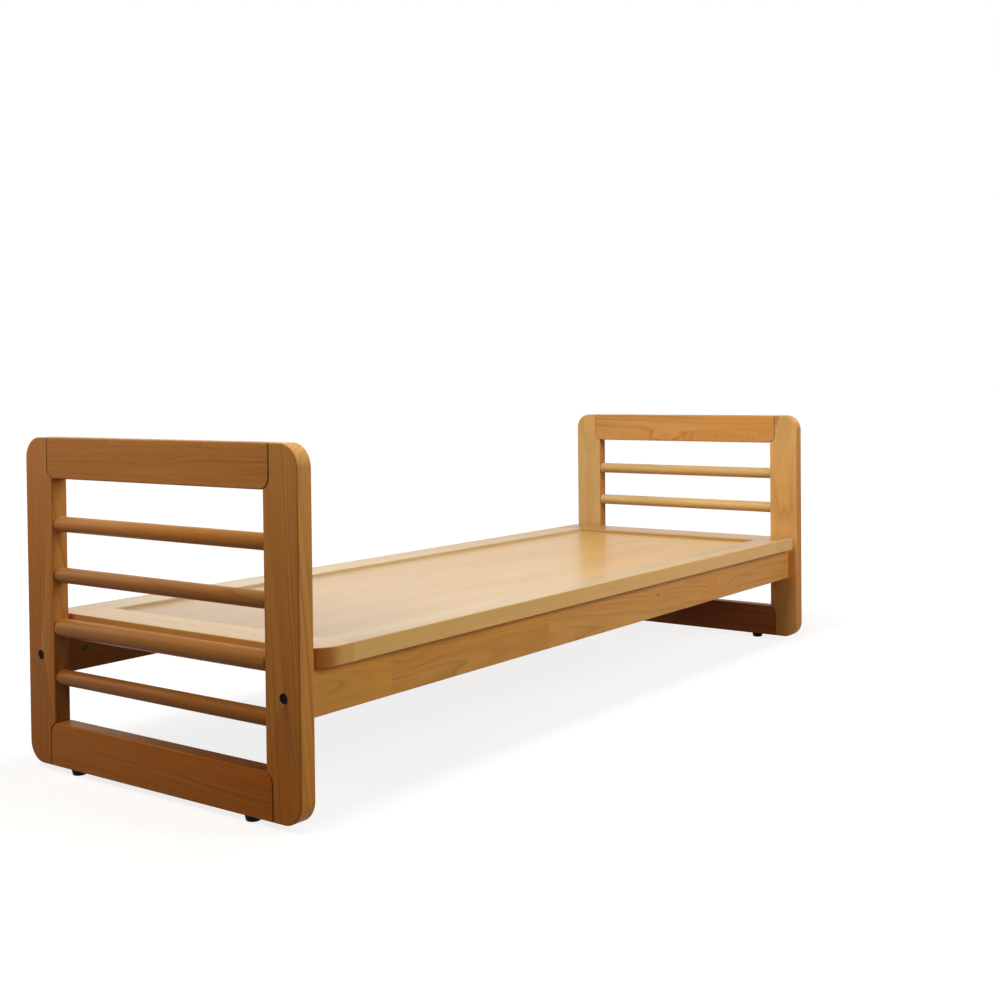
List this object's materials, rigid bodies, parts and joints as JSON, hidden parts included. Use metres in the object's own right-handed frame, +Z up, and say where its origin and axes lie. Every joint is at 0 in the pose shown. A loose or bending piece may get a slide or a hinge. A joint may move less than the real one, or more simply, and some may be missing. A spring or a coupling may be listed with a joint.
{
  "type": "bench bed",
  "caption": "Low wooden bench bed with ladder end frames, bolted side rails and a lift-out plywood deck set in a raised rim.",
  "frame": {"origin": "on the floor under the middle of the bed's length and width", "axes": "+X along the bed towards its right end, whose deck corners are square; +Y towards the rear; +Z up"},
  "size_m": [2.093, 0.8, 0.688],
  "materials": {
    "frame_wood": "satin lacquered golden pine",
    "rim_wood": "satin lacquered light pine",
    "plywood": "satin lacquered birch plywood",
    "plain_wood": "unfinished softwood and beech",
    "steel": "zinc plated",
    "black_plastic": "moulded dark brown-black"
  },
  "bodies": {
    "bed_frame": {"left_front_stile": "frame_wood", "left_rear_stile": "frame_wood", "left_top_rail": "frame_wood", "left_bottom_rail": "frame_wood", "left_top_rung": "frame_wood", "left_upper_rung": "frame_wood", "left_deck_rung": "frame_wood", "left_low_rung": "frame_wood", "left_frame_dowels": "plain_wood", "left_glides": "black_plastic", "right_front_stile": "frame_wood", "right_rear_stile": "frame_wood", "right_top_rail": "frame_wood", "right_bottom_rail": "frame_wood", "right_top_rung": "frame_wood", "right_upper_rung": "frame_wood", "right_deck_rung": "frame_wood", "right_low_rung": "frame_wood", "right_frame_dowels": "plain_wood", "right_glides": "black_plastic", "front_side_rail": "frame_wood", "rear_side_rail": "frame_wood", "side_rail_dowels": "plain_wood", "corner_bolts": "steel", "bolt_washers": "steel", "bolt_caps": "black_plastic", "barrel_nuts": "steel", "glide_screws": "steel"},
    "deck": {"deck_panel": "plywood", "front_rim": "rim_wood", "rear_rim": "rim_wood", "left_rim": "rim_wood", "right_rim": "rim_wood", "rim_dowels": "plain_wood", "left_batten": "plain_wood", "middle_batten": "plain_wood", "right_batten": "plain_wood", "batten_screws": "steel", "front_locating_blocks": "plain_wood", "rear_locating_blocks": "plain_wood", "block_screws": "steel"}
  },
  "joints": [
    {"name": "deck_lift", "type": "slide", "parent": "bed_frame", "child": "deck", "axis": [0, 0, 1], "range_m": [0, 0.45]}
  ]
}
